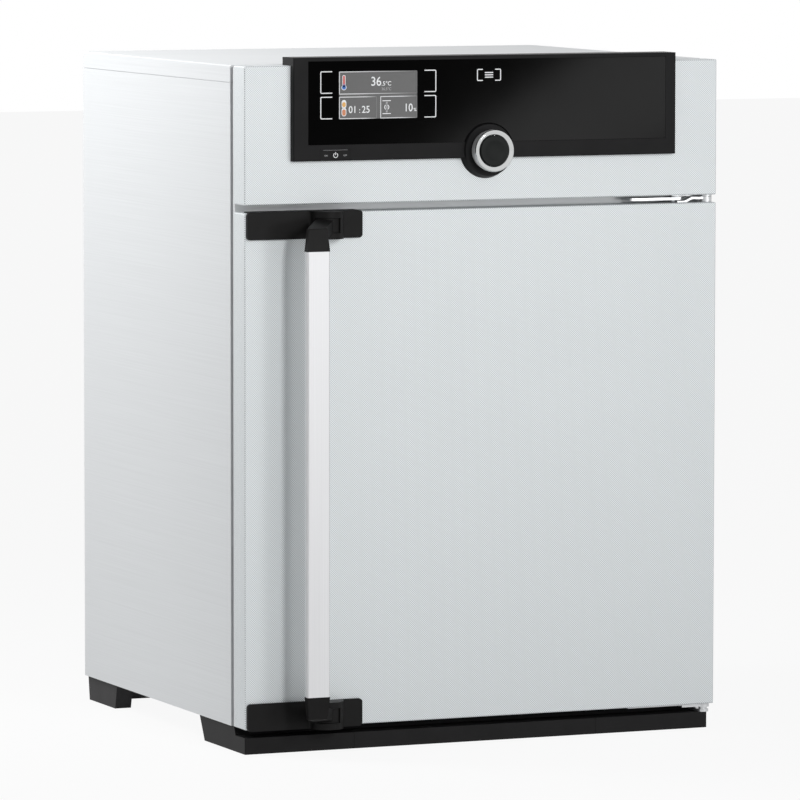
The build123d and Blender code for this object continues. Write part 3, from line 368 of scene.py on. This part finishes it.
def anodised_bar():
    """Drawn aluminium, blasted and anodised, with faint draw lines along it."""
    material, tree, shader = new_finish("anodised_bar", (0.66, 0.66, 0.67), 0.40, 0.35)
    drawn = grain(tree, place_of(tree, drawn_upright), scale=1.0, detail=2.0)
    vary_colour(tree, shader, drawn, (0.635, 0.635, 0.645), (0.685, 0.685, 0.695), (0.3, 0.7))
    vary_roughness(tree, shader, drawn, 0.36, 0.44)
    raise_by(tree, shader, drawn, strength=0.08, depth=0.00004)
    return material


def soft_rubber(name, colour):
    """Dull rubber with a fine skin."""
    material, tree, shader = new_finish(name, colour, 0.72)
    skin = grain(tree, place_of(tree), scale=700.0, detail=3.0)
    mottle(tree, shader, skin, colour, darker=0.92, lighter=1.06)
    raise_by(tree, shader, skin, strength=0.2, depth=0.00008)
    return material


def mineral_wool():
    """Yellowish board of matted fibres."""
    material, tree, shader = new_finish("mineral_wool", (0.55, 0.50, 0.33), 0.95)
    fibres = grain(tree, place_of(tree, matted), scale=1.0, detail=6.0, roughness=0.8)
    vary_colour(tree, shader, fibres, (0.42, 0.37, 0.22), (0.66, 0.61, 0.43), (0.3, 0.7))
    raise_by(tree, shader, fibres, strength=0.8, depth=0.0008)
    return material


def green_board():
    """Circuit board with lighter tracks."""
    material, tree, shader = new_finish("green_board", (0.02, 0.13, 0.05), 0.35)
    tracks = tree.nodes.new("ShaderNodeTexBrick")
    tracks.inputs["Scale"].default_value = 160.0
    tracks.inputs["Mortar Size"].default_value = 0.06
    tree.links.new(place_of(tree), tracks.inputs["Vector"])
    vary_colour(tree, shader, tracks.outputs["Fac"], (0.02, 0.13, 0.05), (0.05, 0.24, 0.10))
    return material


def print_ink(name, colour, glow=0.0):
    """Print or lit display ground, with a faint unevenness."""
    material, tree, shader = new_finish(name, colour, 0.32)
    cloud = grain(tree, place_of(tree), scale=260.0, detail=2.0)
    mottle(tree, shader, cloud, colour, darker=0.96, lighter=1.03)
    if glow:
        shader.inputs["Emission Color"].default_value = (*colour, 1.0)
        shader.inputs["Emission Strength"].default_value = glow
    return material


def fading_ink(name, left, right):
    """Display outline that fades from white on the left to the ground's grey."""
    material, tree, shader = new_finish(name, (0.8, 0.8, 0.8), 0.4)
    share = share_along(tree, "X", left, right)
    vary_colour(tree, shader, share, (0.80, 0.81, 0.82), (0.13, 0.13, 0.13))
    return material


def thermometer_fill(bottom, top):
    """Blue bulb passing to a red column."""
    material, tree, shader = new_finish("thermometer_fill", (0.6, 0.1, 0.1), 0.4)
    share = share_along(tree, "Z", bottom, top)
    vary_colour(tree, shader, share, (0.03, 0.16, 0.55), (0.62, 0.09, 0.08), (0.30, 0.45))
    return material


# Finishes of this incubator

textured = embossed_stainless()
plain_side = satin_stainless("side_stainless", (0.70, 0.715, 0.725), 0.44, 0.15, brushed_level)
frame_face = satin_stainless("frame_stainless", (0.66, 0.67, 0.68), 0.42, 0.25, brushed_level)
chamber_face = satin_stainless("chamber_stainless", (0.62, 0.63, 0.64), 0.26, 0.9, brushed_level)
zinc_face = satin_stainless("zinc_sheet", (0.50, 0.52, 0.54), 0.5, 0.7, brushed_faint)
bright_steel = satin_stainless("bright_steel", (0.58, 0.59, 0.60), 0.30, 0.7, brushed_fine)
ring_side = satin_stainless("ring_side", (0.80, 0.80, 0.80), 0.42, 0.35, turned)
chrome = polished_chrome()
bar_silver = anodised_bar()
housing_black = moulded_black("housing_black", (0.0110, 0.0108, 0.0112), 0.46)
handle_black = moulded_black("handle_black", (0.0105, 0.0102, 0.0102), 0.44)
# Painted light: the rear feet get a copy of the black plastic about three times lighter than the
# rest. It stands in for the light from the left on their sides.
foot_black_painted_light = moulded_black("foot_black_painted_light", (0.034, 0.033, 0.034), 0.60, gloss=0.15)
plinth_black = moulded_black("plinth_black", (0.0120, 0.0117, 0.0120), 0.50, gloss=0.10)
button_black = moulded_black("button_black", (0.0120, 0.0135, 0.0130), 0.38)
dark_fitting = moulded_black("dark_fitting", (0.012, 0.012, 0.013), 0.40)
grey_fitting = moulded_black("grey_fitting", (0.16, 0.16, 0.17), 0.5)
glass_black = black_glass()
glass_clear = clear_glass()
seal_grey = soft_rubber("seal_grey", (0.42, 0.42, 0.41))
heater_orange = soft_rubber("heater_orange", (0.45, 0.12, 0.03))
wool = mineral_wool()
board_green = green_board()
screen_grey = print_ink("screen_grey", (0.062, 0.062, 0.062), glow=0.04)
ink_white = print_ink("ink_white", (0.84, 0.85, 0.86), glow=0.05)
ink_grey = print_ink("ink_grey", (0.34, 0.34, 0.35))
ink_amber = print_ink("ink_amber", (0.80, 0.42, 0.08))
ink_orange = print_ink("ink_orange", (0.62, 0.20, 0.07))
outline_wide = fading_ink("outline_wide", screen_left + 0.020, screen_right - 0.004)
outline_left = fading_ink("outline_left", tile_split - 0.016, tile_split - 0.001)
outline_right = fading_ink("outline_right", screen_right - 0.020, screen_right)

finishes = {
    "door_skin": textured, "control_fascia": textured,
    "left_side_panel": plain_side, "right_side_panel": plain_side, "top_cover": plain_side,
    "front_frame": frame_face,
    "base_pan": zinc_face, "rear_panel": zinc_face, "electronics_tray": zinc_face,
    "power_supply": zinc_face,
    "vent_duct": bright_steel, "air_flap": bright_steel, "rear_panel_screws": bright_steel,
    "chamber_liner": chamber_face, "door_inner_panel": chamber_face,
    "temperature_probe": bright_steel, "lower_shelf": bright_steel, "upper_shelf": bright_steel,
    "cockpit_bezel": housing_black, "cockpit_glass": glass_black, "power_key": housing_black,
    "display_module": dark_fitting, "control_board": board_green,
    "rotary_encoder": grey_fitting, "encoder_shaft": bright_steel, "knob_ring": chrome,
    "knob_button": button_black, "flap_motor": dark_fitting,
    "heater_panels": heater_orange, "insulation": wool, "door_insulation": wool,
    "chamber_gasket": seal_grey, "door_gasket": seal_grey,
    "mains_inlet": dark_fitting, "mains_inlet_pins": bright_steel,
    "network_socket": dark_fitting,
    "front_left_foot": plinth_black, "front_plinth_strip": plinth_black,
    "front_right_foot": plinth_black, "rear_left_foot": foot_black_painted_light,
    "rear_right_foot": foot_black_painted_light,
    "upper_hinge_leaf": bright_steel, "lower_hinge_arm": bright_steel,
    "door_upper_leaf": bright_steel, "door_lower_leaf": bright_steel,
    "door_hinge_pins": bright_steel, "door_hinge_bushes": dark_fitting,
    "glass_pane": glass_clear, "glass_door_knob": dark_fitting,
    "glass_hinge_lugs": bright_steel, "glass_hinge_pins": bright_steel,
    "glass_hinge_clamps": bright_steel, "glass_catch_magnet": bright_steel,
    "upper_handle_bracket": handle_black, "lower_handle_bracket": handle_black,
    "upper_handle_arm": handle_black, "lower_handle_arm": handle_black,
    "handle_bar": bar_silver, "handle_pivot_pins": bright_steel, "latch_levers": bright_steel,
}


def dress_nodes():
    """Gives every carried-over CAD node the finish of the real piece."""
    for name, node in nodes.items():
        node.data.materials.clear()
        node.data.materials.append(finishes[name])


# Knob

def crown_of_knob():
    """The knob's polished ring: a rounded crest with a dished slope down to the button."""
    low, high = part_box("knob_ring")
    x = (low.x + high.x) / 2
    z = (low.z + high.z) / 2
    depth, radius = ring_profile[0]
    pick_nothing()
    bpy.ops.mesh.primitive_circle_add(vertices=ring_corners, radius=radius,
                                      fill_type="NOTHING", rotation=upright,
                                      location=(x, low.y + depth, z))
    ring = bpy.context.object
    ring.name = "knob_crown"
    settle(ring)
    bpy.ops.object.mode_set(mode="EDIT")
    bpy.ops.mesh.select_all(action="SELECT")
    for next_depth, next_radius in ring_profile[1:]:
        step = (0, next_depth - depth, 0)
        bpy.ops.mesh.extrude_edges_move(TRANSFORM_OT_translate={"value": step})
        grow = next_radius / radius
        bpy.ops.transform.resize(value=(grow, 1.0, grow),
                                 center_override=(x, low.y + next_depth, z))
        depth, radius = next_depth, next_radius
    bpy.ops.mesh.select_all(action="DESELECT")
    bpy.ops.mesh.select_mode(type="EDGE")
    bpy.ops.mesh.select_non_manifold()
    bpy.ops.mesh.bridge_edge_loops()
    bpy.ops.mesh.select_all(action="SELECT")
    bpy.ops.mesh.normals_make_consistent(inside=False)
    bpy.ops.object.mode_set(mode="OBJECT")
    bpy.ops.object.shade_smooth_by_angle(angle=radians(smooth_below))
    clothe(ring, chrome, "chrome_ring", "knob")
    ring.data.materials.append(ring_side)
    for face in ring.data.polygons:
        away = ((face.center.x - x) ** 2 + (face.center.z - z) ** 2) ** 0.5
        if away > side_radius and face.center.y > low.y + side_depth:
            face.material_index = 1
    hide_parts("knob_ring")


# Print on the control panel

def rounded_plane(name, x0, x1, z0, z1, level, radius, steps):
    """A flat rounded rectangle that faces the front, left in edit mode with all of it chosen."""
    pick_nothing()
    bpy.ops.mesh.primitive_plane_add(size=1.0, rotation=upright,
                                     location=((x0 + x1) / 2, glass_front - level,
                                               (z0 + z1) / 2))
    piece = bpy.context.object
    piece.name = name
    piece.scale = (x1 - x0, z1 - z0, 1.0)
    settle(piece)
    bpy.ops.object.mode_set(mode="EDIT")
    bpy.ops.mesh.select_all(action="SELECT")
    if radius:
        bpy.ops.mesh.bevel(offset=radius, segments=steps, affect="VERTICES")
    bpy.ops.mesh.select_all(action="SELECT")
    return piece


def thicken(piece):
    """Gives a flat piece the thickness of its film, towards the front."""
    pick_nothing()
    piece.select_set(True)
    bpy.context.view_layer.objects.active = piece
    solid = piece.modifiers.new("film", "SOLIDIFY")
    solid.thickness = film
    solid.offset = 1.0
    bpy.ops.object.modifier_apply(modifier=solid.name)


def patch(name, x0, x1, z0, z1, level, radius, material, steps=5, slot="black_glass",
          body="housing"):
    """A thin flat patch with rounded corners that lies on the glass or on a key."""
    piece = rounded_plane(name, x0, x1, z0, z1, level, radius, steps)
    thicken(piece)
    clothe(piece, material, slot, body)


def outline(name, x0, x1, z0, z1, level, width, radius, material, cut=None):
    """A thin rounded frame. A cut is an X and the side, 1 or -1, that is taken off there."""
    piece = rounded_plane(name, x0, x1, z0, z1, level, radius, steps=4)
    bpy.ops.mesh.inset(thickness=width, depth=0.0)
    bpy.ops.mesh.delete(type="FACE")
    if cut:
        cut_x, side = cut
        bpy.ops.mesh.select_all(action="SELECT")
        bpy.ops.mesh.bisect(plane_co=(cut_x, glass_front, z0), plane_no=(side, 0, 0),
                            clear_outer=True)
    thicken(piece)
    clothe(piece, material, "black_glass")


def lettering(name, words, x, z, height, level, material, align="LEFT", stretch=1.0,
              slot="black_glass", body="housing"):
    """Plain figures, standing upright on the glass or on a key."""
    pick_nothing()
    bpy.ops.object.text_add(location=(0, 0, 0))
    piece = bpy.context.object
    piece.name = name
    piece.data.body = words
    piece.data.size = height / capital_share
    piece.data.align_x = align
    piece.data.offset = height * stroke_share
    piece.data.extrude = film / 2
    piece.data.resolution_u = 4
    bpy.ops.object.convert(target="MESH")
    piece = bpy.context.object
    piece.scale = (stretch, 1.0, 1.0)
    piece.rotation_euler = upright
    piece.location = (x, glass_front - level, z)
    settle(piece)
    clothe(piece, material, slot, body)


def key_brackets():
    """The open brackets that point at the screen's fields from both sides."""
    for side, x0, x1, cut_x, cut_side in bracket_sides:
        for row, z0, z1 in bracket_rows:
            outline(f"key_bracket_{side}_{row}", x0, x1, z0, z1, film, line, line_corner,
                    ink_white, (cut_x, cut_side))


def menu_mark():
    """Two small brackets round a generic three-bar sign."""
    for side, cut in (("left", (menu_left + menu_reach, 1)),
                      ("right", (menu_right - menu_reach, -1))):
        outline(f"menu_bracket_{side}", menu_left, menu_right, menu_bottom, menu_top, film,
                line, line_corner, ink_white, cut)
    middle = (menu_left + menu_right) / 2
    for i in range(3):
        z = (menu_bottom + menu_top) / 2 + (i - 1) * menu_bar_pitch
        patch(f"menu_bar_{i}", middle - menu_bar_half_length, middle + menu_bar_half_length,
              z - menu_bar_half_height, z + menu_bar_half_height, film, menu_bar_corner,
              ink_white, steps=2)


def screen_fields():
    """The lit screen's grey ground and its three outlined fields."""
    patch("screen_ground", screen_left, screen_right, screen_bottom, screen_top, 0.0, 0.0,
          screen_grey)
    upper = (screen_split + half_row_gap, screen_top)
    lower = (screen_bottom, screen_split - half_row_gap)
    for name, x0, x1, row, ink in (
            ("field_upper", screen_left, screen_right, upper, outline_wide),
            ("field_lower_left", screen_left, tile_split - left_tile_gap, lower, outline_left),
            ("field_lower_right", tile_split + right_tile_gap, screen_right, lower,
             outline_right)):
        outline(name, x0, x1, *row, sign_level, field_line, field_corner, ink)


def readings():
    """The temperature, the clock and the flap's opening, in generic figures."""
    for name, words, x, foot, height, ink, align, stretch in (
            ("reading_whole", "36", -0.1430, 0.7516, 0.0100, ink_white, "LEFT", 0.92),
            ("reading_tenth", ".5°C", -0.1298, 0.7516, 0.0047, ink_white, "LEFT", 0.98),
            ("reading_set", "36.5°C", -0.1299, 0.7463, 0.0030, ink_grey, "LEFT", 1.0),
            ("clock_hours", "01", -0.1700, 0.7214, 0.0078, ink_white, "LEFT", 0.92),
            ("clock_colon", ":", -0.1574, 0.7214, 0.0060, ink_white, "LEFT", 1.0),
            ("clock_minutes", "25", -0.1540, 0.7214, 0.0078, ink_white, "LEFT", 0.92),
            ("flap_reading", "10", -0.0915, 0.7222, 0.0088, ink_white, "RIGHT", 0.86),
            ("flap_share", "%", -0.0906, 0.7222, 0.0036, ink_white, "LEFT", 1.0)):
        lettering(name, words, x, foot, height, sign_level, ink, align, stretch)


def thermometer(x, bottom, top):
    """A white rim round a blue bulb and a red column."""
    bulb = 0.0031
    tube = 0.0019
    wall = 0.0007
    neck = bottom + bulb
    inside = sign_level + film
    fill = thermometer_fill(bottom, top)
    patch("thermometer_rim", x - tube, x + tube, neck, top, sign_level, tube, ink_white, 6)
    patch("thermometer_bulb_rim", x - bulb, x + bulb, bottom, bottom + 2 * bulb, sign_level,
          bulb * nearly_round, ink_white, 8)
    patch("thermometer_column", x - tube + wall, x + tube - wall, neck, top - wall, inside,
          tube - wall, fill, 6)
    patch("thermometer_bulb", x - bulb + wall, x + bulb - wall, bottom + wall,
          bottom + 2 * bulb - wall, inside, (bulb - wall) * nearly_round, fill, 8)


def hourglass(x, bottom, top):
    """A white rim with two round ends, and sand in both."""
    half = 0.0029
    wall = 0.0008
    overlap = 0.0004
    sand_corner = 0.0019
    upper_sand_above_middle = 0.0012
    upper_sand_below_top = 0.0026
    lower_sand_below_middle = 0.0016
    middle = (bottom + top) / 2
    inside = sign_level + film
    for end, z0, z1 in (("upper", middle - overlap, top), ("lower", bottom, middle + overlap)):
        patch(f"hourglass_{end}_rim", x - half, x + half, z0, z1, sign_level,
              half * nearly_round, ink_white, 8)
    upper_sand = (middle + upper_sand_above_middle, top - upper_sand_below_top)
    lower_sand = (bottom + wall, middle - lower_sand_below_middle)
    for end, (z0, z1), ink in (("upper", upper_sand, ink_amber),
                               ("lower", lower_sand, ink_orange)):
        patch(f"hourglass_sand_{end}", x - half + wall, x + half - wall, z0, z1, inside,
              sand_corner, ink, 6)


def flap_sign(x, bottom, top):
    """The air flap's sign: a turning disc between two duct walls."""
    wall_half_length = 0.0051
    wall_half_height = 0.00045
    disc = 0.0031
    disc_line = 0.0010
    disc_corner = 0.0030
    stem_half_width = 0.0011
    stem_corner = 0.0006
    stem_inset = 0.0012
    for end, z in (("low", bottom), ("high", top)):
        patch(f"flap_sign_wall_{end}", x - wall_half_length, x + wall_half_length,
              z - wall_half_height, z + wall_half_height, sign_level, 0.0, ink_white)
    middle = (bottom + top) / 2
    outline("flap_sign_ring", x - disc, x + disc, middle - disc, middle + disc, sign_level,
            disc_line, disc_corner, ink_white)
    patch("flap_sign_stem", x - stem_half_width, x + stem_half_width, bottom + stem_inset,
          top - stem_inset, sign_level, stem_corner, ink_grey, 3)


def power_marks():
    """The power sign with on and off words and a fine line above, on the power key."""
    level = film + glass_front - key_front
    on_key = {"slot": "black_plastic", "body": "key"}
    pick_nothing()
    bpy.ops.mesh.primitive_circle_add(vertices=power_corners, radius=power_radius, fill_type="NGON",
                                      rotation=upright,
                                      location=(power_x, glass_front - level, power_z))
    ring = bpy.context.object
    ring.name = "power_ring"
    settle(ring)
    bpy.ops.object.mode_set(mode="EDIT")
    bpy.ops.mesh.select_all(action="SELECT")
    bpy.ops.mesh.inset(thickness=power_line, depth=0.0)
    bpy.ops.mesh.delete(type="FACE")
    bpy.ops.object.mode_set(mode="OBJECT")
    for face in ring.data.polygons:
        middle = face.center
        face.select = abs(middle.x - power_x) < power_gap and middle.z > power_z
    bpy.ops.object.mode_set(mode="EDIT")
    bpy.ops.mesh.delete(type="FACE")
    thicken(ring)
    clothe(ring, ink_white, **on_key)
    patch("power_bar", power_x - power_bar_half_width, power_x + power_bar_half_width,
          power_z + power_bar_bottom, power_z + power_bar_top, level, power_bar_corner,
          ink_white, 2, **on_key)
    for name, words, x in power_words:
        lettering(name, words, x, word_foot, word_height, level, ink_grey, "CENTER", **on_key)
    patch("power_line", fine_line_left, fine_line_right, fine_line_bottom, fine_line_top, level,
          0.0, ink_grey, **on_key)


# Stage: floor, sky, lamps and camera

def seen_directly(tree):
    """1 for what the eye, a gloss or clear glass sees, and 0 for what only lights a piece."""
    rays = tree.nodes.new("ShaderNodeLightPath")
    eye_or_gloss = worked_out(tree, "MAXIMUM", rays.outputs["Is Camera Ray"],
                              rays.outputs["Is Glossy Ray"])
    return worked_out(tree, "MAXIMUM", eye_or_gloss, rays.outputs["Is Transmission Ray"])


def floor():
    """A pale floor that shows nearly white where it is seen, with the soft shadow."""
    pick_nothing()
    bpy.ops.mesh.primitive_plane_add(size=floor_size, location=(0, 0, 0))
    ground = bpy.context.object
    ground.name = "floor"
    material = bpy.data.materials.new("floor_white")
    material.use_nodes = True
    tree = material.node_tree
    shader = tree.nodes["Principled BSDF"]
    shader.inputs["Base Color"].default_value = floor_grey
    shader.inputs["Roughness"].default_value = 0.9
    shader.inputs["Specular IOR Level"].default_value = 0.0
    white = tree.nodes.new("ShaderNodeEmission")
    white.inputs["Strength"].default_value = 1.0
    share = worked_out(tree, "MULTIPLY", seen_directly(tree), floor_share_seen_white)
    mix = tree.nodes.new("ShaderNodeMixShader")
    tree.links.new(share, mix.inputs["Fac"])
    tree.links.new(shader.outputs["BSDF"], mix.inputs[1])
    tree.links.new(white.outputs["Emission"], mix.inputs[2])
    tree.links.new(mix.outputs["Shader"], tree.nodes["Material Output"].inputs["Surface"])
    ground.data.materials.append(material)


def sky():
    """A plain soft world, white where it is seen."""
    world = bpy.data.worlds.new("studio")
    bpy.context.scene.world = world
    world.use_nodes = True
    tree = world.node_tree
    light = tree.nodes["Background"]
    light.inputs["Color"].default_value = sky_tint
    light.inputs["Strength"].default_value = sky_strength
    white = tree.nodes.new("ShaderNodeBackground")
    white.inputs["Color"].default_value = (1.0, 1.0, 1.0, 1.0)
    white.inputs["Strength"].default_value = 1.0
    mix = tree.nodes.new("ShaderNodeMixShader")
    tree.links.new(seen_directly(tree), mix.inputs["Fac"])
    tree.links.new(light.outputs["Background"], mix.inputs[1])
    tree.links.new(white.outputs["Background"], mix.inputs[2])
    tree.links.new(mix.outputs["Shader"], tree.nodes["World Output"].inputs["Surface"])


def lamps():
    """Soft rectangular lamps, each of which points at a spot."""
    for name, (place, spot, width, height, power, turn) in lamp_sizes.items():
        pick_nothing()
        bpy.ops.object.light_add(type="AREA", location=place)
        light = bpy.context.object
        light.name = name
        light.data.shape = "RECTANGLE"
        light.data.size = width
        light.data.size_y = height
        light.data.energy = power
        direction = Vector(spot) - Vector(place)
        light.rotation_euler = direction.to_track_quat("-Z", "Y").to_euler()
        if turn:
            light.rotation_euler.rotate_axis("Z", radians(turn))


def camera():
    """The camera of the photograph."""
    pick_nothing()
    bpy.ops.object.camera_add(location=camera_place)
    eye = bpy.context.object
    eye.name = "photo_camera"
    eye.rotation_euler = (radians(camera_pitch), radians(camera_roll), radians(camera_heading))
    eye.data.lens = camera_lens
    eye.data.sensor_width = camera_sensor
    eye.data.clip_end = camera_reach
    bpy.context.scene.camera = eye


dress_nodes()
crown_of_knob()
screen_fields()
readings()
thermometer(*thermometer_place)
hourglass(*hourglass_place)
flap_sign(*flap_sign_place)
key_brackets()
menu_mark()
power_marks()
floor()
sky()
lamps()
camera()
bpy.context.scene.view_settings.view_transform = "Standard"
